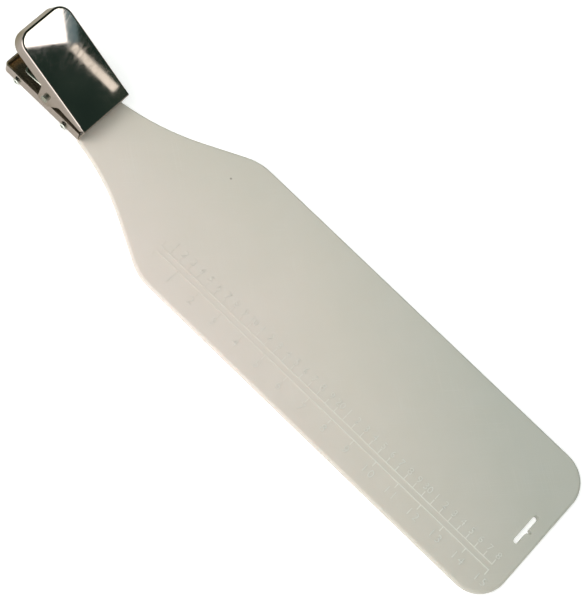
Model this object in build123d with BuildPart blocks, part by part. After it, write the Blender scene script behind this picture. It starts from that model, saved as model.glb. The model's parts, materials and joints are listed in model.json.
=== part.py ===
from build123d import *
from math import asin, atan2, cos, degrees, hypot, radians, sin
import os

# Fish filleting board with a sprung tail clamp. Millimetres, +Z up, +X towards the free end.
# The origin is on the board's underside, on its centre line, under the zero of the scale.

# ---- board ----
board_width = 152.4
board_thickness = 6.4
board_end_x = 397.8
board_corner_radius = 29.0
board_edge_round = 2.4
shoulder_x = 18.0             # where the straight sides end and the taper to the neck begins
shoulder_radius = 50.0
taper_angle = 28.4            # slope of the straight taper, in degrees
neck_radius = 231.0           # the concave curve that leads into the neck
neck_end_slope = 8.7          # slope left at the neck's end, in degrees
neck_half_width = 26.7        # at the neck's end, where the clamp begins

# ---- hang slot ----
slot_inset = 15.4             # from the free end to the slot's centre line
slot_length = 31.5
slot_width = 4.6
notch_depth = 3.6             # hook notch in the middle of the slot, towards the free end
notch_base_width = 4.2
notch_tip_radius = 0.8

# ---- moulded scale ----
mark_height = 0.4
mark_width = 0.9
cm_line_inset = 33.0          # from the near side of the board
inch_line_inset = 27.3
tick_length = 5.4
scale_end_blank = 15.0        # at least this much board is left past the last mark
cm = 10.0
inch = 25.4

# ---- clamp base: a pressed tray under and beside the neck's tongue ----
sheet = 1.2                   # thickness of the base and lever sheet
base_half_width = 24.9
base_length = 88.0
base_height = 13.2
base_bend_radius = 2.0
base_corner_radius = 3.0
shoulder_gap = 0.5            # between the neck's shoulder and the base's front edge
tongue_side_gap = 0.3
tongue_end_gap = 5.0
tongue_chamfer = 1.2
bearing_thickness = 1.0
bearing_front_inset = 1.5
bearing_end_gap = 1.2
bearing_corner_radius = 3.4

# ---- pivot ----
pivot_from_front = 38.4
pivot_height = 27.9
pin_radius = 2.5
pin_head_radius = 3.3
pin_head_length = 3.0
pin_tail_length = 3.2
pin_bore_clearance = 0.05
lug_radius = 5.6
lug_foot_half_length = 5.0
washer_radius = 5.0
washer_play = 0.05
retainer_radius = 4.4
retainer_thickness = 1.8
retainer_chamfer = 0.8
pin_head_round = 0.8
pin_tail_chamfer = 0.6

# ---- lever: a pressed tray, tilted, with ears at the pivot and a toothed lip in front ----
lever_tilt = 29.0
lever_half_width = 27.4
lever_front = 39.1            # along the lever from the pivot to the front edge
lever_back = 58.0             # along the lever from the pivot to the back edge
lever_top = 22.2              # from the pivot up to the outer face of the top
lever_skirt = 14.6            # depth of the turned-down sides behind the ears
lever_skirt_front = 4.6       # the same, at the front edge
lever_corner_radius = 13.0
lever_bend_radius = 2.2
lever_corner_relief = 2.6     # how far the sides end short of the front edge
ear_rear_top = -11.6          # along the lever, at the skirt's edge
ear_rear_foot = (-1.8, -15.0)       # the ear's corners, from the pivot along and square to the lever
ear_front_foot = (8.9, -9.4)
ear_front_top = (11.6, 9.0)
ear_foot_radius = 3.0
lip_lean = 12.0               # the lip leans back by this from upright, in degrees
lip_gap = 0.3                 # between the teeth and the board at rest
tooth_pitch = 5.0
tooth_depth = 2.2
tooth_flat = 0.4              # half the flat left on each tooth's tip
tooth_count = 4               # notches on each side of the middle one
lip_lap = 4.0
lip_side_inset = 0.8

# ---- torsion spring: two coils on the pin, a bail on the floor, two arms under the lever ----
wire_radius = 1.3
coil_radius = 5.6
coil_turns = 1                # whole turns, and then the part turn between arm and bail
coil_turn_gap = 0.15
coil_side_gap = 0.3           # from the base's wall to the outermost wire
bail_reach = 34.8             # from the pivot back to the bail's cross-bar
bail_corner_radius = 4.5
arm_length = 24.0
wire_gap = 0.15               # between the wire and what it bears on

# ---- side screws ----
screw_front_inset = 16.8
screw_pitch = 55.5
screw_radius = 2.0
screw_length = 13.0
screw_head_radius = 3.3
screw_head_height = 2.2
screw_hole_clearance = 0.2
screw_slot_height = 9.0
screw_play = 0.05
screw_head_round = 0.9
recess_width = 0.9
recess_length = 3.8
recess_depth = 1.2

# ---- how far a cut or a trimmed outline reaches past what it has to clear ----
overrun = 1.0

# ---- places worked out from the sizes above ----
board_half_width = board_width / 2
cm_line_y = cm_line_inset - board_half_width
inch_line_y = inch_line_inset - board_half_width
cm_count = int((board_end_x - scale_end_blank) / cm)
inch_count = int((board_end_x - scale_end_blank) / inch)
end_slope_sin = sin(radians(neck_end_slope))
end_slope_cos = cos(radians(neck_end_slope))
taper_sin = sin(radians(taper_angle))
taper_cos = cos(radians(taper_angle))
shoulder_rise = shoulder_radius * (1 - taper_cos)
neck_rise = neck_radius * (end_slope_cos - taper_cos)
taper_rise = board_half_width - shoulder_rise - neck_rise - neck_half_width
taper_length = taper_rise / taper_sin
neck_end_x = (shoulder_x - shoulder_radius * taper_sin - taper_length * taper_cos
              - neck_radius * (taper_sin - end_slope_sin))

base_front_x = neck_end_x - shoulder_gap
base_back_x = base_front_x - base_length
base_inner_half = base_half_width - sheet
tongue_half_width = base_inner_half - tongue_side_gap
tongue_back_x = base_back_x + sheet + tongue_end_gap
floor_z = board_thickness + bearing_thickness

pivot_x = base_front_x - pivot_from_front
pivot_plane = Plane(origin=(pivot_x, 0, pivot_height), x_dir=(1, 0, 0), z_dir=(0, -1, 0))
tilt_sin = sin(radians(lever_tilt))
tilt_cos = cos(radians(lever_tilt))
lever_dir = Vector(tilt_cos, 0, -tilt_sin)
lever_normal = Vector(tilt_sin, 0, tilt_cos)
pivot_point = Vector(pivot_x, 0, pivot_height)
lever_top_plane = Plane(origin=pivot_point + lever_normal * lever_top, x_dir=lever_dir, z_dir=lever_normal)
lever_side_plane = Plane(origin=pivot_point, x_dir=lever_dir, z_dir=(0, -1, 0))
lever_inner_half = lever_half_width - sheet
ear_gap = lever_inner_half - base_half_width
washer_thickness = ear_gap - 2 * washer_play
front_edge = pivot_point + lever_dir * lever_front + lever_normal * lever_top
lever_axis = Axis(pivot_point, lever_normal)
lever_side_front = lever_front - lever_corner_relief
lip_height = front_edge.Z - board_thickness - lip_gap
lip_dir = Vector(-sin(radians(lip_lean)), 0, -cos(radians(lip_lean)))
lip_point = front_edge + lip_dir * (lip_height / cos(radians(lip_lean)))
lip_tip = ((lip_point - pivot_point).dot(lever_dir) - sheet / 2, (lip_point - pivot_point).dot(lever_normal))
lip_plane = Plane(origin=lip_point, x_dir=(0, 1, 0), z_dir=(cos(radians(lip_lean)), 0, -sin(radians(lip_lean))))
head_seat_y = lever_half_width + washer_play

bearing_front_x = base_front_x - bearing_front_inset
bearing_back_x = base_back_x + sheet + bearing_end_gap

coil_pitch = 2 * wire_radius + coil_turn_gap
coil_side_y = base_inner_half - coil_side_gap - wire_radius
arm_room = lever_top - sheet - wire_gap
arm_lift = coil_radius + wire_radius
arm_angle = lever_tilt + degrees(asin(arm_room / hypot(arm_length, arm_lift)) - atan2(arm_lift, arm_length))
bail_z = floor_z + wire_gap + wire_radius
bail_x = pivot_x - bail_reach
bail_drop = pivot_height - bail_z
bail_angle = degrees(atan2(bail_drop, bail_reach) - asin(coil_radius / hypot(bail_drop, bail_reach)))
coil_plane = Plane(origin=(pivot_x, coil_side_y, pivot_height),
                   x_dir=(sin(radians(arm_angle)), 0, cos(radians(arm_angle))), z_dir=(0, -1, 0))
coil_sweep = 360 * coil_turns + (90 - arm_angle) + (90 - bail_angle)

screw_z = sheet + (board_thickness - sheet) / 2
screw_xs = [base_front_x - screw_front_inset, base_front_x - screw_front_inset - screw_pitch]
screw_slot_width = 2 * (screw_radius + screw_hole_clearance)
screw_slot_z = screw_z + (screw_slot_height - screw_slot_width) / 2

os.makedirs("parts", exist_ok=True)


def save(builder, name):
    builder.part.label = name
    export_step(builder.part, f"parts/{name}.step")


def side_plane(y, side):
    """A plane that faces outwards at a height y from the centre line, on side -1 or +1."""
    return Plane(origin=(0, side * y, 0), x_dir=(-side, 0, 0), z_dir=(0, side, 0))


# ---- board ----
with BuildPart() as board:
    with BuildSketch() as outline:
        with BuildLine():
            end_side = board_end_x - board_corner_radius
            top = Line((end_side, board_half_width), (shoulder_x, board_half_width))
            shoulder = JernArc(top @ 1, (-1, 0), shoulder_radius, taper_angle)
            taper = Line(shoulder @ 1, shoulder @ 1 + (shoulder % 1) * taper_length)
            neck = JernArc(taper @ 1, taper % 1, neck_radius, neck_end_slope - taper_angle)
            end = Line(neck @ 1, ((neck @ 1).X, 0))
            middle = Line(end @ 1, (board_end_x, 0))
            free = Line((board_end_x, 0), (board_end_x, board_half_width - board_corner_radius))
            RadiusArc(free @ 1, top @ 0, -board_corner_radius)
        make_face()
        mirror(about=Plane.XZ)
    extrude(amount=board_thickness)
    rim = board.edges().filter_by(Plane.XY)
    rim = rim.filter_by(lambda e: e.center().X > neck_end_x + overrun)
    fillet(rim, board_edge_round)
    # the tongue inside the clamp's base
    with BuildSketch(Plane.YZ.offset(tongue_back_x)):
        with Locations((0, screw_z)):
            tongue = Rectangle(2 * tongue_half_width, board_thickness - sheet)
        chamfer(tongue.vertices().group_by(Axis.Z)[0], tongue_chamfer)
    extrude(amount=neck_end_x - tongue_back_x)
    # the hang slot and its hook notch
    slot_x = board_end_x - slot_inset
    with BuildSketch(Plane.XY):
        with Locations((slot_x, 0)):
            SlotOverall(slot_length, slot_width, rotation=90)
        with BuildLine():
            tip_x = slot_x + slot_width / 2 + notch_depth - notch_tip_radius
            Polyline((slot_x, notch_base_width / 2), (slot_x + slot_width / 2, notch_base_width / 2),
                     (tip_x, notch_tip_radius), (tip_x, -notch_tip_radius),
                     (slot_x + slot_width / 2, -notch_base_width / 2), (slot_x, -notch_base_width / 2), close=True)
        make_face()
        with Locations((tip_x, 0)):
            Circle(notch_tip_radius)
    extrude(amount=board_thickness, mode=Mode.SUBTRACT)
    # pilot holes for the side screws
    for side in (-1, 1):
        with BuildSketch(side_plane(tongue_half_width, side)):
            with Locations(*[(-side * x, screw_z) for x in screw_xs]):
                Circle(screw_radius + screw_play)
        extrude(amount=-screw_length, mode=Mode.SUBTRACT)
    # the raised scale
    with BuildSketch(Plane.XY.offset(board_thickness)):
        with Locations((cm_count * cm / 2, cm_line_y)):
            Rectangle(cm_count * cm + mark_width, mark_width)
        with Locations((inch_count * inch / 2, inch_line_y)):
            Rectangle(inch_count * inch + mark_width, mark_width)
        with Locations(*[(cm * n, cm_line_y + tick_length / 2) for n in range(cm_count + 1)]):
            Rectangle(mark_width, tick_length)
        with Locations(*[(inch * n, inch_line_y - tick_length / 2) for n in range(inch_count + 1)]):
            Rectangle(mark_width, tick_length)
    extrude(amount=mark_height)
save(board, "board")

# ---- clamp base ----
with BuildPart() as clamp_base:
    with BuildSketch():
        with Locations((base_front_x - base_length / 2, 0)):
            tray = Rectangle(base_length, 2 * base_half_width)
        fillet(tray.vertices().group_by(Axis.X)[0], base_corner_radius)
    extrude(amount=base_height)
    bends = clamp_base.faces().sort_by(Axis.Z)[0].edges()
    fillet(bends.filter_by(lambda e: e.center().X < base_front_x - overrun), base_bend_radius)
    open_faces = [clamp_base.faces().sort_by(Axis.Z)[-1], clamp_base.faces().sort_by(Axis.X)[-1]]
    offset(amount=-sheet, openings=open_faces)
    for side in (-1, 1):
        with BuildSketch(side_plane(base_half_width, side)):
            with Locations((-side * pivot_x, pivot_height)):
                Circle(lug_radius)
            with Locations((-side * pivot_x, base_height - overrun)):
                Rectangle(2 * lug_foot_half_length, 2 * overrun)
            make_hull()
        extrude(amount=-sheet)
        with BuildSketch(side_plane(base_half_width, side)):
            with Locations((-side * pivot_x, pivot_height)):
                Circle(pin_radius + pin_bore_clearance)
            with Locations(*[(-side * x, screw_slot_z) for x in screw_xs]):
                SlotOverall(screw_slot_height, screw_slot_width, rotation=90)
        extrude(amount=-2 * sheet, mode=Mode.SUBTRACT)
save(clamp_base, "clamp_base")

# ---- bearing plate: the steel floor that the spring's bail presses on ----
with BuildPart() as bearing_plate:
    with BuildSketch(Plane.XY.offset(board_thickness)):
        with Locations(((bearing_front_x + bearing_back_x) / 2, 0)):
            floor = Rectangle(bearing_front_x - bearing_back_x, 2 * tongue_half_width)
        fillet(floor.vertices().group_by(Axis.X)[0], bearing_corner_radius)
    extrude(amount=bearing_thickness)
save(bearing_plate, "bearing_plate")

# ---- clamp lever ----
with BuildPart() as clamp_lever:
    with BuildSketch(lever_top_plane):
        with Locations(((lever_side_front - lever_back) / 2, 0)):
            plan = Rectangle(lever_side_front + lever_back, 2 * lever_half_width)
        fillet(plan.vertices().group_by(Axis.X)[0], lever_corner_radius)
    extrude(amount=-(lever_top - ear_rear_foot[1] + overrun))
    top_face = clamp_lever.faces().sort_by(lever_axis)[-1]
    rounded = top_face.edges().filter_by(lambda e: (e.center() - pivot_point).dot(lever_dir) < lever_side_front - overrun)
    fillet(rounded, lever_bend_radius)
    front_face = clamp_lever.faces().sort_by(Axis(pivot_point, lever_dir))[-1]
    offset(amount=-sheet, openings=[clamp_lever.faces().sort_by(lever_axis)[0], front_face])
    # the sides are trimmed to the skirt's line, with the ears left on
    with BuildSketch(lever_side_plane):
        with BuildLine():
            Polyline((-lever_back - overrun, lever_top + overrun), (lever_front, lever_top + overrun),
                     (lever_front, lever_top - lever_skirt_front), ear_front_top, ear_front_foot,
                     ear_rear_foot, (ear_rear_top, lever_top - lever_skirt),
                     (-lever_back - overrun, lever_top - lever_skirt), close=True)
        profile = make_face()
        fillet(profile.vertices().filter_by(lambda v: v.Z < pivot_height - ear_foot_radius), ear_foot_radius)
    extrude(amount=lever_half_width + overrun, both=True, mode=Mode.INTERSECT)
    # the toothed lip, bent down from the front edge
    with BuildSketch(lever_side_plane):
        with BuildLine():
            mid = lever_top - sheet / 2
            FilletPolyline((lever_side_front - lip_lap, mid), (lever_front - sheet / 2, mid), lip_tip,
                           radius=lever_bend_radius - sheet / 2)
        trace(line_width=sheet)
    extrude(amount=lever_half_width - lip_side_inset, both=True)
    with BuildSketch(lip_plane):
        for n in range(-tooth_count, tooth_count + 1):
            with Locations((n * tooth_pitch, 0)):
                Polygon((-tooth_pitch / 2 + tooth_flat, -overrun), (tooth_pitch / 2 - tooth_flat, -overrun),
                        (tooth_pitch / 2 - tooth_flat, 0), (0, tooth_depth),
                        (-tooth_pitch / 2 + tooth_flat, 0), align=None)
    extrude(amount=2 * sheet, both=True, mode=Mode.SUBTRACT)
    with BuildSketch(pivot_plane):
        Circle(pin_radius + pin_bore_clearance)
    extrude(amount=lever_half_width + overrun, both=True, mode=Mode.SUBTRACT)
save(clamp_lever, "clamp_lever")

# ---- pivot pin, with its head on the near side ----
with BuildPart() as pivot_pin:
    with BuildSketch(pivot_plane):
        Circle(pin_radius)
    extrude(amount=head_seat_y)
    with BuildSketch(pivot_plane):
        Circle(pin_radius)
    extrude(amount=-(head_seat_y + retainer_thickness + pin_tail_length))
    with BuildSketch(pivot_plane.offset(head_seat_y)):
        Circle(pin_head_radius)
    extrude(amount=pin_head_length)
    fillet(pivot_pin.edges().sort_by(Axis.Y)[0], pin_head_round)
    chamfer(pivot_pin.edges().sort_by(Axis.Y)[-1], pin_tail_chamfer)
save(pivot_pin, "pivot_pin")

# ---- push-on retainer: a domed cap with a flange, on the pin's far end ----
with BuildPart() as pin_retainer:
    with BuildSketch(pivot_plane.offset(-head_seat_y)):
        Circle(retainer_radius)
        Circle(pin_radius + pin_bore_clearance, mode=Mode.SUBTRACT)
    extrude(amount=-retainer_thickness)
    rims = pin_retainer.edges().filter_by(GeomType.CIRCLE).sort_by(Axis.Y)[-2:]
    chamfer(rims.sort_by(SortBy.RADIUS)[-1], retainer_chamfer)
save(pin_retainer, "pin_retainer")

# ---- washers between the base's lugs and the lever's ears ----
for side, name in ((-1, "ear_washer_near"), (1, "ear_washer_far")):
    with BuildPart() as washer:
        with BuildSketch(pivot_plane.offset(-side * (base_half_width + washer_play))):
            Circle(washer_radius)
            Circle(pin_radius + pin_bore_clearance, mode=Mode.SUBTRACT)
        extrude(amount=-side * washer_thickness)
    save(washer, name)

# ---- torsion spring: one wire, built as the far half and mirrored ----
coil_height = coil_pitch * coil_sweep / 360
coil = coil_plane * Helix(pitch=coil_pitch, height=coil_height, radius=coil_radius, lefthand=True)
coil_start = coil @ 0
coil_end = coil @ 1
arm_tip = coil_start - (coil % 0) * arm_length
drop = (coil_end.Z - bail_z) / -(coil % 1).Z
bail_foot = coil_end + (coil % 1) * drop
with BuildPart() as torsion_spring:
    with BuildLine() as wire:
        Line(arm_tip, coil_start)
        add(coil)
        FilletPolyline(coil_end, bail_foot, (bail_foot.X, 0, bail_foot.Z), radius=bail_corner_radius)
    with BuildSketch(Plane(origin=wire.line @ 0, z_dir=wire.line % 0)):
        Circle(wire_radius)
    sweep(path=wire.line)
    mirror(about=Plane.XZ)
save(torsion_spring, "torsion_spring")

# ---- side screws: cross-recessed pan heads ----
for side, side_name in ((-1, "near"), (1, "far")):
    for x, place in zip(screw_xs, ("front", "rear")):
        with BuildPart() as screw:
            with BuildSketch(side_plane(base_half_width, side)):
                with Locations((-side * x, screw_z)):
                    Circle(screw_head_radius)
            extrude(amount=screw_head_height)
            outer = screw.edges().sort_by(Axis.Y)[-1 if side > 0 else 0]
            fillet(outer, screw_head_round)
            with BuildSketch(side_plane(base_half_width + screw_head_height, side)):
                with Locations((-side * x, screw_z)):
                    Rectangle(recess_length, recess_width)
                    Rectangle(recess_width, recess_length)
            extrude(amount=-recess_depth, mode=Mode.SUBTRACT)
            with BuildSketch(side_plane(base_half_width, side)):
                with Locations((-side * x, screw_z)):
                    Circle(screw_radius)
            extrude(amount=-screw_length)
        save(screw, f"screw_{side_name}_{place}")
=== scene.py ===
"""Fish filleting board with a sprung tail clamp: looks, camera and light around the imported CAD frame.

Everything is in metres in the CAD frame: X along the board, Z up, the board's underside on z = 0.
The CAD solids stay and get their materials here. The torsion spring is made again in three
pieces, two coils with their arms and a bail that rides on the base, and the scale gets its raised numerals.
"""

import json
import math

import bmesh
import bpy
from mathutils import Matrix, Vector

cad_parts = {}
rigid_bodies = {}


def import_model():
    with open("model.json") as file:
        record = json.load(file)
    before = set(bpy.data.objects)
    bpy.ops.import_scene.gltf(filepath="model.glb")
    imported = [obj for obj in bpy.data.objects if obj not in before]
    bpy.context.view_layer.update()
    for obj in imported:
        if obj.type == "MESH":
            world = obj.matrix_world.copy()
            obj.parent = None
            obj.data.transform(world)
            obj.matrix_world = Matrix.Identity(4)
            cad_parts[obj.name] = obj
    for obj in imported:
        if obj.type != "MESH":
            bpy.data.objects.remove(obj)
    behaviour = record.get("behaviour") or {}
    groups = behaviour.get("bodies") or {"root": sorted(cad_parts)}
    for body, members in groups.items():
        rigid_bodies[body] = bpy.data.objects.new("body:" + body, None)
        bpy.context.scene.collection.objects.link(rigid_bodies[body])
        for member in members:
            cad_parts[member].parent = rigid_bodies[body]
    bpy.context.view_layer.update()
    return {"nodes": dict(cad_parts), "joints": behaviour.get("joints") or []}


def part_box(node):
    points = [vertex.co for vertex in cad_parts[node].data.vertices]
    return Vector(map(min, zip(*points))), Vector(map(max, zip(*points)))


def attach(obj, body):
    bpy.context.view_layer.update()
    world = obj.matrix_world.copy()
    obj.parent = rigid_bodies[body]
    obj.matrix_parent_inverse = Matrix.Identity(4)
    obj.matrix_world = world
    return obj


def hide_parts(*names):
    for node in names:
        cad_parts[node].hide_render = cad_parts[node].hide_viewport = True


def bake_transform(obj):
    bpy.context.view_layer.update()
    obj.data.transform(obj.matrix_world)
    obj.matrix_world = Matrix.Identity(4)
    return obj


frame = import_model()

MM = 0.001
INCH = 25.4 * MM
NODES = frame["nodes"]
PIVOT = Vector(frame["joints"][0]["pos_m"])
BOARD_TOP = 6.4 * MM


# ---------------------------------------------------------------- node helpers

class Tree:
    """A short way to write a node tree: add() makes a node, sets it and links what it is given."""

    def __init__(self, tree):
        self.tree = tree

    def add(self, kind, fields=None, **inputs):
        node = self.tree.nodes.new("ShaderNode" + kind)
        for name, value in (fields or {}).items():
            setattr(node, name, value)
        for name, value in inputs.items():
            self.put(node, name.replace("_", " "), value)
        return node

    def put(self, node, name, value):
        """Sets or links the socket of that name, or the one numbered 2 where the name is i2."""
        socket = node.inputs[int(name[1:])] if name[1:].isdigit() and name[0] == "i" else node.inputs[name]
        if isinstance(value, bpy.types.NodeSocket):
            self.tree.links.new(value, socket)
        else:
            socket.default_value = value

    def ramp(self, factor, *stops):
        """A colour ramp through stops, each a place from 0 to 1 and its colour or grey."""
        node = self.add("ValToRGB", Fac=factor)
        elements = node.color_ramp.elements
        while len(elements) < len(stops):
            elements.new(0.5)
        for element, (place, colour) in zip(elements, stops):
            element.position = place
            element.color = (*colour, 1) if isinstance(colour, tuple) else (colour, colour, colour, 1)
        return node.outputs["Color"]

    def spread(self, value, low, high, to_low, to_high):
        """value taken from low..high to to_low..to_high, clamped."""
        node = self.add("MapRange", Value=value, From_Min=low, From_Max=high, To_Min=to_low, To_Max=to_high)
        return node.outputs["Result"]

    def maths(self, operation, a, b=0.0):
        return self.add("Math", {"operation": operation}, i0=a, i1=b).outputs[0]

    def mix(self, factor, a, b, blend="MIX"):
        node = self.add("Mix", {"data_type": "RGBA", "blend_type": blend}, i0=factor, i6=a, i7=b)
        return node.outputs[2]

    def noise(self, vector, scale, detail=2.0, roughness=0.5):
        node = self.add("TexNoise", Vector=vector, Scale=scale, Detail=detail, Roughness=roughness)
        return node.outputs["Fac"]

    def axis(self, vector, letter):
        """One coordinate of a vector: X, Y or Z."""
        return self.add("SeparateXYZ", Vector=vector).outputs[letter]

    def stretched(self, vector, scale, turn=(0, 0, 0)):
        """The coordinates turned and then scaled, for grain that runs one way."""
        turned = self.add("Mapping", Vector=vector, Rotation=turn).outputs[0]
        return self.add("Mapping", Vector=turned, Scale=scale).outputs[0]

    def bump(self, height, distance, strength=1.0, normal=None):
        node = self.add("Bump", Height=height, Distance=distance, Strength=strength)
        if normal is not None:
            self.put(node, "Normal", normal)
        return node.outputs[0]


def new_material(name, **settings):
    """A material with its Principled sockets set, and its tree and object coordinates."""
    mat = bpy.data.materials.new(name)
    mat.use_nodes = True
    shader = mat.node_tree.nodes["Principled BSDF"]
    for key, value in settings.items():
        shader.inputs[key.replace("_", " ")].default_value = value
    tree = Tree(mat.node_tree)
    place = tree.add("TexCoord").outputs["Object"]
    return mat, tree, shader, place


def scratches(tree, place, turn, length_scale, width_scale, keep):
    """Thin straight lines that fade in and out: 1 on a scratch and 0 elsewhere."""
    along = tree.stretched(place, (length_scale, width_scale, length_scale), (0, 0, turn))
    line = tree.spread(tree.noise(along, 1.0, 0.0), keep, keep + 0.03, 0.0, 1.0)
    patches = tree.noise(place, 35.0, 1.0)
    return tree.maths("MULTIPLY", line, tree.spread(patches, 0.45, 0.62, 0.0, 1.0))


# ---------------------------------------------------------------- materials

def board_plastic():
    """Milky polyethylene with a matt moulded skin, and painted light falloff: light and warm by the clamp,
    darker and greyer at the free end and far side.
    """
    mat, t, shader, place = new_material(
        "board_plastic", IOR=1.50, Specular_IOR_Level=0.42,
        Subsurface_Weight=0.22, Subsurface_Radius=(0.008, 0.006, 0.005), Subsurface_Scale=0.6)
    # Painted light falloff: lighter and warmer by the clamp, darker and greyer towards the free end and the
    # far side.
    x = t.axis(place, "X")
    along = t.spread(x, 0.10, 0.40, 0.0, 0.62)
    across = t.spread(t.axis(place, "Y"), -0.076, 0.076, 0.0, 0.62)
    painted_falloff = t.maths("ADD", along, across)
    warm, middling, grey = (0.720, 0.646, 0.597), (0.640, 0.600, 0.535), (0.515, 0.520, 0.467)
    base = t.ramp(painted_falloff, (0.0, warm), (0.45, middling), (1.0, grey))
    cloud = t.noise(place, 22.0, 3.0)
    cooler = t.mix(1.0, base, (0.93, 0.94, 0.91, 1), "MULTIPLY")
    base = t.mix(t.spread(cloud, 0.35, 0.7, 0.0, 0.30), base, cooler)
    # Painted highlight: the tops of the raised numerals are lightened, less so towards the clamp end.
    raised = t.spread(t.axis(place, "Z"), BOARD_TOP + 0.05 * MM, BOARD_TOP + 0.35 * MM, 0.0, 0.75)
    painted_mark_highlight = t.maths("MULTIPLY", raised, t.spread(x, 0.05, 0.30, 0.1, 1.0))
    base = t.mix(painted_mark_highlight, base, (0.80, 0.79, 0.73, 1))
    speck = (-1 * MM, 45 * MM, BOARD_TOP)
    from_speck = t.add("VectorMath", {"operation": "DISTANCE"}, i0=place, i1=speck).outputs["Value"]
    base = t.mix(t.spread(from_speck, 0.6 * MM, 1.2 * MM, 0.75, 0.0), base, (0.20, 0.17, 0.14, 1))
    cut_a = scratches(t, place, 0.62, 9.0, 1300.0, 0.66)
    cut_b = scratches(t, place, -0.85, 7.0, 1100.0, 0.67)
    cuts = t.maths("MAXIMUM", cut_a, cut_b)
    base = t.mix(t.maths("MULTIPLY", cuts, 0.05), base, (0.83, 0.82, 0.78, 1))
    t.put(shader, "Base Color", base)
    skin = t.noise(place, 850.0, 3.0, 0.6)
    t.put(shader, "Roughness", t.spread(t.noise(place, 60.0, 4.0), 0.3, 0.7, 0.46, 0.60))
    soft = t.bump(skin, 0.00006)
    t.put(shader, "Normal", t.bump(t.maths("SUBTRACT", 1.0, cuts), 0.00001, normal=soft))
    return mat


def rolled_metal(name, colour, stain, stain_share, rough, grain_turn=(0, 0, 0), wave=0.0, scratched=0.0,
                 grain_depth=2e-6, grime_and_shade=None, dulled=0.0, edge=(1, 1, 1, 1)):
    """Plated sheet or wire: a fine grain that runs one way, cloudy stains, shallow waves and scratches.

    The grime and shade function gives, from the tree and the place, the share and colour of dirt and
    of painted shade, dulled is how much less metallic these are, and edge is the tint seen at a grazing
    angle.
    """
    mat, t, shader, place = new_material(name, Metallic=1.0, Specular_Tint=edge)
    cloud = t.noise(place, 70.0, 4.0, 0.6)
    base = t.mix(t.spread(cloud, 0.42, 0.72, 0.0, stain_share), (*colour, 1), (*stain, 1))
    grain = t.noise(t.stretched(place, (60.0, 2600.0, 2600.0), grain_turn), 1.0, 2.0)
    darker = t.mix(1.0, base, (0.75, 0.75, 0.74, 1), "MULTIPLY")
    base = t.mix(t.spread(grain, 0.3, 0.7, 0.0, 0.12), base, darker)
    if grime_and_shade:
        # Dirt and painted shade from that function are mixed into the colour.
        share, dirt_and_shade = grime_and_shade(t, place)
        base = t.mix(share, base, dirt_and_shade)
        if dulled:
            t.put(shader, "Metallic", t.spread(share, 0.0, 1.0, 1.0, 1.0 - dulled))
    normal = t.bump(grain, grain_depth)
    if wave:
        normal = t.bump(t.noise(t.stretched(place, (0.55, 1.0, 0.55)), 38.0, 1.0), wave, normal=normal)
        normal = t.bump(t.noise(place, 420.0, 2.0), wave * 0.02, normal=normal)
    rough_map = t.spread(t.noise(place, 240.0, 4.0, 0.65), 0.3, 0.75, rough[0], rough[1])
    if scratched:
        lines = t.maths("MAXIMUM", scratches(t, place, 1.25, 26.0, 2400.0, 0.62),
                        scratches(t, place, 1.85, 30.0, 2700.0, 0.63))
        rough_map = t.maths("ADD", rough_map, t.maths("MULTIPLY", lines, scratched))
        normal = t.bump(lines, 4e-7, normal=normal)
    t.put(shader, "Base Color", base)
    t.put(shader, "Roughness", rough_map)
    t.put(shader, "Normal", normal)
    return mat


LEVER_TILT = math.radians(29)
LEVER_NORMAL = Vector((math.sin(LEVER_TILT), 0, math.cos(LEVER_TILT)))
SIDE_WALL = (24.2 * MM, 24.5 * MM)         # distances from the centre line, both within a side wall
PIN_END = (29.8 * MM, 30.2 * MM)           # the same, both just short of the pin's end faces
BACK_WALL = (-202.7 * MM, -202.4 * MM)     # places along the board, both within the back wall


def lever_grime(t, place):
    """Painted shade low on the ears, darker towards the bottom, and a painted dark olive reflection round
    the back end.
    """
    # Painted shade: darker towards the bottom of the ears.
    low = t.spread(t.axis(place, "Z"), 8 * MM, 30 * MM, 0.55, 0.0)
    # Painted reflection: dark olive round the back end.
    back = t.spread(t.axis(place, "X"), -200 * MM, -190 * MM, 0.95, 0.0)
    return t.maths("MAXIMUM", low, back), (0.17, 0.155, 0.10, 1)


def base_grime(t, place):
    """Painted shade inside the channel under the lever, less dark and warmer by the back wall."""
    x = t.axis(place, "X")
    # Painted shade fills the channel between the side walls, in front of the back wall.
    between_sides = t.spread(t.maths("ABSOLUTE", t.axis(place, "Y")), *SIDE_WALL, 1.0, 0.0)
    inside = t.maths("MULTIPLY", between_sides, t.spread(x, *BACK_WALL, 0.0, 1.0))
    warmth = t.spread(x, -202 * MM, -194 * MM, 1.0, 0.0)
    return t.maths("MULTIPLY", inside, 0.9), t.mix(warmth, (0.10, 0.085, 0.05, 1), (0.42, 0.34, 0.20, 1))


def plate_grime(t, place):
    """Painted shade as a dark brown film over nearly all of the plate under the lever, and rust where water
    gathers at the back.
    """
    wander = t.spread(t.noise(place, 160.0, 3.0), 0.3, 0.7, -2 * MM, 2 * MM)
    ragged = t.maths("ADD", t.axis(place, "X"), wander)
    rust = t.spread(ragged, -199.5 * MM, -193.5 * MM, 1.0, 0.0)
    # Painted shade: a dark brown film over nearly all of the plate.
    share = t.spread(t.noise(place, 300.0, 3.0), 0.3, 0.7, 0.80, 0.97)
    return share, t.mix(rust, (0.070, 0.060, 0.034, 1), (0.30, 0.155, 0.05, 1))


def pin_grime(t, place):
    """The pin's end faces darkened to olive."""
    share = t.spread(t.maths("ABSOLUTE", t.axis(place, "Y")), *PIN_END, 0.0, 0.9)
    return share, (0.13, 0.13, 0.08, 1)


NICKEL_COLOUR = (0.27, 0.22, 0.18)
NICKEL_STAIN = (0.20, 0.17, 0.115)

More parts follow.
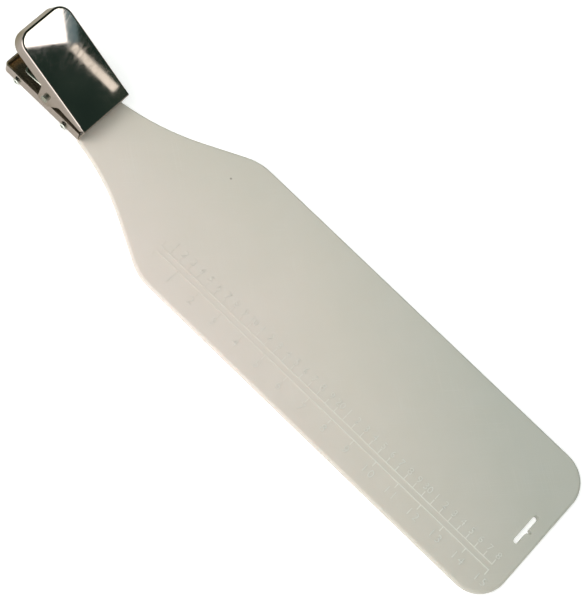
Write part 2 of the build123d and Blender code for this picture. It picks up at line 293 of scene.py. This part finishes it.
plastic = board_plastic()
chrome = rolled_metal("chrome_sheet", (0.340, 0.300, 0.275), (0.300, 0.272, 0.240), 0.35, (0.02, 0.045),
                      (0, -LEVER_TILT, 0), wave=0.00001, scratched=0.03, grain_depth=1e-7,
                      grime_and_shade=lever_grime, edge=(0.60, 0.56, 0.50, 1))
nickel = rolled_metal("nickel_sheet", NICKEL_COLOUR, NICKEL_STAIN, 0.35, (0.20, 0.32),
                      grime_and_shade=base_grime, dulled=0.6)
# The bearing plate is darkened with painted shade under the lever.
shaded_bearing_steel = rolled_metal("bearing_steel", NICKEL_COLOUR, NICKEL_STAIN, 0.35, (0.22, 0.36),
                     grime_and_shade=plate_grime, dulled=0.35)
zinc = rolled_metal("zinc_steel", (0.62, 0.65, 0.60), (0.45, 0.46, 0.38), 0.5, (0.24, 0.38),
                    grime_and_shade=pin_grime)
wire = rolled_metal("spring_wire", (0.56, 0.57, 0.50), (0.36, 0.35, 0.27), 0.5, (0.20, 0.34))

FINISHES = {
    "board": plastic, "clamp_lever": chrome, "clamp_base": nickel, "bearing_plate": shaded_bearing_steel,
    "pivot_pin": zinc, "pin_retainer": zinc, "ear_washer_near": zinc, "ear_washer_far": zinc,
    "screw_near_front": zinc, "screw_near_rear": zinc, "screw_far_front": zinc, "screw_far_rear": zinc,
}
for node, mat in FINISHES.items():
    for material_slot in NODES[node].material_slots:
        material_slot.material = mat


# ---------------------------------------------------------------- mesh helpers

def add_object(name, mesh, mat, body=None):
    """An object with one material, and the body that it rides on if one is given."""
    piece = bpy.data.objects.new(name, mesh)
    bpy.context.scene.collection.objects.link(piece)
    mesh.materials.clear()
    mesh.materials.append(mat)
    if body:
        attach(piece, body)
    return piece


def rounded_path(corners, radius, steps=10):
    """The points of a polyline whose inner corners are arcs of that radius."""
    points = [corners[0]]
    for before, corner, after in zip(corners, corners[1:], corners[2:]):
        a, b = (before - corner).normalized(), (after - corner).normalized()
        half = a.angle(b) / 2
        centre = corner + (a + b).normalized() * (radius / math.sin(half))
        start = corner + a * (radius / math.tan(half)) - centre
        for k in range(steps + 1):
            turn = Matrix.Rotation((math.pi - 2 * half) * k / steps, 3, b.cross(a))
            points.append(centre + turn @ start)
    points.append(corners[-1])
    return points


def tube(name, path, radius, sides=20, end_round=0.25):
    """A round wire along path, with its ends closed and slightly rounded."""
    bm = bmesh.new()
    tangents = []
    for k in range(len(path)):
        ahead, behind = path[min(k + 1, len(path) - 1)], path[max(k - 1, 0)]
        tangents.append((ahead - behind).normalized())
    up = tangents[0].orthogonal().normalized()
    rings = []

    def ring(centre, tangent, size):
        side = tangent.cross(up).normalized()
        rings.append([bm.verts.new(centre + (up * math.cos(a) + side * math.sin(a)) * size)
                      for a in (math.tau * s / sides for s in range(sides))])

    inset = radius * end_round
    for k, (point, tangent) in enumerate(zip(path, tangents)):
        up = (up - tangent * up.dot(tangent)).normalized()
        if k == 0:
            ring(point, tangent, radius - inset)
            ring(point + tangent * inset * 0.3, tangent, radius - inset * 0.3)
            ring(point + tangent * inset, tangent, radius)
        elif k == len(path) - 1:
            ring(point - tangent * inset, tangent, radius)
            ring(point - tangent * inset * 0.3, tangent, radius - inset * 0.3)
            ring(point, tangent, radius - inset)
        else:
            ring(point, tangent, radius)
    for a, b in zip(rings, rings[1:]):
        for s in range(sides):
            bm.faces.new((a[s], a[(s + 1) % sides], b[(s + 1) % sides], b[s]))
    bm.faces.new(list(reversed(rings[0])))
    bm.faces.new(rings[-1])
    bmesh.ops.recalc_face_normals(bm, faces=bm.faces)
    mesh = bpy.data.meshes.new(name)
    bm.to_mesh(mesh)
    bm.free()
    for face in mesh.polygons:
        face.use_smooth = len(face.vertices) == 4
    return mesh


# ---------------------------------------------------------------- torsion spring

WIRE_RADIUS = 1.3 * MM
COIL_RADIUS = 5.6 * MM
COIL_PITCH = 2.75 * MM
ARM_LENGTH = 24.0 * MM
COIL_SIDE_Y = 22.1 * MM            # the arm's and outermost turn's distance from the centre line
ARM_ANGLE = math.radians(69.57)
BAIL_CORNER = 4.5 * MM
COIL_STEPS = 40                    # points in a turn
ARM_STEPS = 6                      # stretches along the straight arm
SMALL_ANGLE = 1e-4
spring_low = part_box("torsion_spring")[0]
bail_z = spring_low.z + WIRE_RADIUS
bail_drop = PIVOT.z - bail_z
bail_reach = PIVOT.x - spring_low.x - WIRE_RADIUS
bail_angle = math.atan2(bail_drop, bail_reach) - math.asin(COIL_RADIUS / math.hypot(bail_drop, bail_reach))


def coil_point(angle, side):
    """A point on the coil after turning by angle from the arm.

    The coil winds inwards along Y, clockwise seen from the near side.
    """
    around = math.pi / 2 - ARM_ANGLE - angle
    across = side * (COIL_SIDE_Y - COIL_PITCH * angle / math.tau)
    return PIVOT + Vector((COIL_RADIUS * math.cos(around), across, COIL_RADIUS * math.sin(around)))


def coil_direction(angle, side):
    """The way the wire runs at that point of the coil."""
    return (coil_point(angle + SMALL_ANGLE, side) - coil_point(angle - SMALL_ANGLE, side)).normalized()


coil_sweep = math.tau + (math.pi / 2 - ARM_ANGLE) + (math.pi / 2 - bail_angle)
coil_count = round(COIL_STEPS * coil_sweep / math.tau)
legs = {}
for side, name in ((-1, "spring_coil_near"), (1, "spring_coil_far")):
    turns = [coil_point(coil_sweep * k / coil_count, side) for k in range(coil_count + 1)]
    lean = -coil_direction(0, side)
    leave = coil_direction(coil_sweep, side)
    foot = turns[-1] + leave * ((turns[-1].z - bail_z) / -leave.z)
    legs[side] = (turns[-1], foot)
    arm = [turns[0] + lean * (ARM_LENGTH * (1 - k / ARM_STEPS)) for k in range(ARM_STEPS)]
    coil = add_object(name, tube(name, arm + turns, WIRE_RADIUS), wire)
    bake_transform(coil)

(near_top, near_foot), (far_top, far_foot) = legs[-1], legs[1]
bail_path = rounded_path([near_top, near_foot, far_foot, far_top], BAIL_CORNER)
bail_mesh = tube("spring_bail", bail_path, WIRE_RADIUS, end_round=0.02)
bail = add_object("spring_bail", bail_mesh, wire, "base")
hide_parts("torsion_spring")


# ---------------------------------------------------------------- raised numerals on the scale

MARK_HEIGHT = 0.4 * MM
MARK_SINK = 0.1 * MM               # how far the numerals reach into the board, so that no gap shows
CM_COUNT = 38
INCH_COUNT = 15
NUMERAL_BEVEL = 0.06 * MM
NUMERAL_THINNING = 0.02            # taken off each stroke's edge, as a share of the digit's height
CM_TEXT = (6.6 * MM, -34.1 * MM, 1.0, True)     # height, middle across the board, spacing, units only
INCH_TEXT = (7.6 * MM, -60.2 * MM, 1.4, False)
CAP_SHARE = 0.73                   # height of a digit in the built-in font, as a share of its size


def numerals(bm, count, step, style):
    """Adds the numbers 1 to count to bm, one to a step along the board."""
    height, y, spacing, units_only = style
    for n in range(1, count + 1):
        curve = bpy.data.curves.new("numeral", "FONT")
        curve.body = str(n % 10 if units_only and n % 10 else n)
        curve.space_character = spacing
        curve.size = height / CAP_SHARE
        curve.align_x, curve.align_y = "CENTER", "CENTER"
        curve.offset = -NUMERAL_THINNING * height
        curve.extrude = (MARK_HEIGHT + MARK_SINK) / 2 - NUMERAL_BEVEL
        curve.bevel_depth = NUMERAL_BEVEL
        curve.resolution_u = 6
        maker = bpy.data.objects.new("numeral", curve)
        mesh = bpy.data.meshes.new_from_object(maker)
        mesh.transform(Matrix.Translation((n * step, y, BOARD_TOP + (MARK_HEIGHT - MARK_SINK) / 2)))
        bm.from_mesh(mesh)
        for data, block in ((bpy.data.objects, maker), (bpy.data.curves, curve), (bpy.data.meshes, mesh)):
            data.remove(block)


numeral_bm = bmesh.new()
numerals(numeral_bm, CM_COUNT, 10 * MM, CM_TEXT)
numerals(numeral_bm, INCH_COUNT, INCH, INCH_TEXT)
bmesh.ops.remove_doubles(numeral_bm, verts=numeral_bm.verts, dist=0.005 * MM)
numeral_mesh = bpy.data.meshes.new("scale_numerals")
numeral_bm.to_mesh(numeral_mesh)
numeral_bm.free()
add_object("scale_numerals", numeral_mesh, plastic, "base")


# ---------------------------------------------------------------- stage: floor, light and camera

LEVER_TOP = 22.2 * MM              # from the pivot to the top's outer face
STUDIO_AZIMUTH = math.radians(31)  # where the mirrored lights stand, seen from the lever
STUDIO_ELEVATION = math.radians(43)
STUDIO_DISTANCE = 0.9
FLOOR_DROP = 0.02 * MM             # the floor is this far under the board


def towards(azimuth, elevation):
    """The unit vector that points azimuth round from +X and elevation up from the floor."""
    return Vector((math.cos(elevation) * math.cos(azimuth), math.cos(elevation) * math.sin(azimuth),
                   math.sin(elevation)))


def level_axes(away):
    """Right and up for someone who looks along -away, with right level."""
    right = Vector((0, 0, 1)).cross(away).normalized()
    return right, away.cross(right)


def floor():
    mat, t, shader, place = new_material("floor_white", Roughness=0.7, Specular_IOR_Level=0.15,
                                         Emission_Color=(1, 1, 1, 1), Emission_Strength=0.42)
    shade = t.spread(t.noise(place, 3.0, 2.0), 0.3, 0.7, 0.0, 1.0)
    t.put(shader, "Base Color", t.mix(shade, (0.86, 0.86, 0.86, 1), (0.88, 0.88, 0.88, 1)))
    bm = bmesh.new()
    bmesh.ops.create_grid(bm, x_segments=1, y_segments=1, size=6.0)
    mesh = bpy.data.meshes.new("floor")
    bm.to_mesh(mesh)
    bm.free()
    mesh.transform(Matrix.Translation((0, 0, -FLOOR_DROP)))
    add_object("floor", mesh, mat)


def surroundings():
    """A studio for the polished metal to reflect: white low down, and a dark green room above it,
    which reaches lower on the far side. The camera itself sees only the white."""
    world = bpy.data.worlds.new("studio")
    bpy.context.scene.world = world
    world.use_nodes = True
    t = Tree(world.node_tree)
    direction = t.add("TexCoord").outputs["Generated"]
    clutter = t.noise(direction, 14.0, 3.0, 0.6)
    deep, green, olive = (0.028, 0.058, 0.048), (0.056, 0.098, 0.078), (0.095, 0.120, 0.080)
    dark = t.ramp(clutter, (0.36, deep), (0.52, green), (0.66, olive))
    far_side = t.spread(t.axis(direction, "Y"), -0.2, 0.5, 0.0, 0.6)
    band = t.spread(t.maths("ADD", t.axis(direction, "Z"), far_side), 0.34, 0.52, 0.0, 1.0)
    seen = t.add("LightPath").outputs["Is Camera Ray"]
    band = t.maths("MULTIPLY", band, t.maths("SUBTRACT", 1.0, seen))
    sky = t.mix(band, (1.0, 0.99, 0.97, 1), dark)
    background = world.node_tree.nodes["Background"]
    t.put(background, "Color", sky)
    background.inputs["Strength"].default_value = 1.0


def area_light(name, place, target, size, power, colour=(1, 1, 1), reflected=False):
    """A rectangular light. Only a reflected one shows in polished metal, and it lights nothing else."""
    data = bpy.data.lights.new(name, "AREA")
    data.shape = "RECTANGLE"
    data.size, data.size_y = size
    data.energy = power
    data.color = colour
    lamp = bpy.data.objects.new(name, data)
    bpy.context.scene.collection.objects.link(lamp)
    lamp.location = place
    lamp.rotation_euler = (Vector(target) - Vector(place)).to_track_quat("-Z", "Y").to_euler()
    lamp.visible_camera = False
    lamp.visible_glossy = reflected
    lamp.visible_diffuse = not reflected
    return lamp


def mirrored_light(name, place, turn, size, radiance, colour=(1, 1, 1)):
    """A rectangular light for the lever's top to mirror.

    place is its middle and size its width and height, in millimetres right and up on a plane that
    faces the lever, and turn is its angle on that plane in degrees.
    """
    middle = PIVOT + LEVER_NORMAL * LEVER_TOP
    away = towards(STUDIO_AZIMUTH, STUDIO_ELEVATION)
    right, up = level_axes(away)
    spot = middle + away * STUDIO_DISTANCE + right * place[0] * MM + up * place[1] * MM
    width, height = size[0] * MM, size[1] * MM
    power = radiance * math.pi * width * height
    lamp = area_light(name, spot, middle, (width, height), power, colour, reflected=True)
    facing = Matrix((right, up, away)).transposed()
    lamp.rotation_euler = (facing @ Matrix.Rotation(math.radians(turn), 3, "Z")).to_euler()


def camera():
    """The view from above the near side, turned so that the board runs down to the right."""
    back = towards(math.radians(-79.16), math.radians(67.38))
    roll = math.radians(33.77)
    aim = Vector((0.1107, 0.0041, 0.0064))
    distance = 1.505
    right, up = level_axes(back)
    turned = right * math.cos(roll) + up * math.sin(roll)
    data = bpy.data.cameras.new("camera")
    data.lens = 107.38
    data.sensor_width = 36.0
    data.clip_start = 0.05
    data.clip_end = 30.0
    view = bpy.data.objects.new("camera", data)
    facing = Matrix((turned, back.cross(turned), back)).transposed()
    view.matrix_world = Matrix.Translation(aim + back * distance) @ facing.to_4x4()
    bpy.context.scene.collection.objects.link(view)
    bpy.context.scene.camera = view


floor()
surroundings()
area_light("overhead", (0.0, -0.2, 1.5), (0.08, 0, 0), (1.8, 1.8), 21.0, (1.0, 0.99, 0.98))
area_light("near_side", (-0.55, -0.8, 0.9), (-0.05, 0, 0), (0.8, 0.8), 5.5, (1.0, 0.97, 0.94))
area_light("low_strip", (-0.3, -2.4, 1.1), (-0.15, 0, 0.03), (4.5, 2.0), 80.0, (1.0, 0.98, 0.94),
           reflected=True)
mirrored_light("softbox", (65, 240), 35, (300, 300), 5.0)
mirrored_light("warm_strip", (15, -15), -18, (11, 80), 2.4, (1.0, 0.95, 0.86))
mirrored_light("window", (50, 37), 35, (45, 14), 0.5, (0.55, 0.85, 1.0))
camera()
bpy.context.scene.view_settings.view_transform = "Standard"
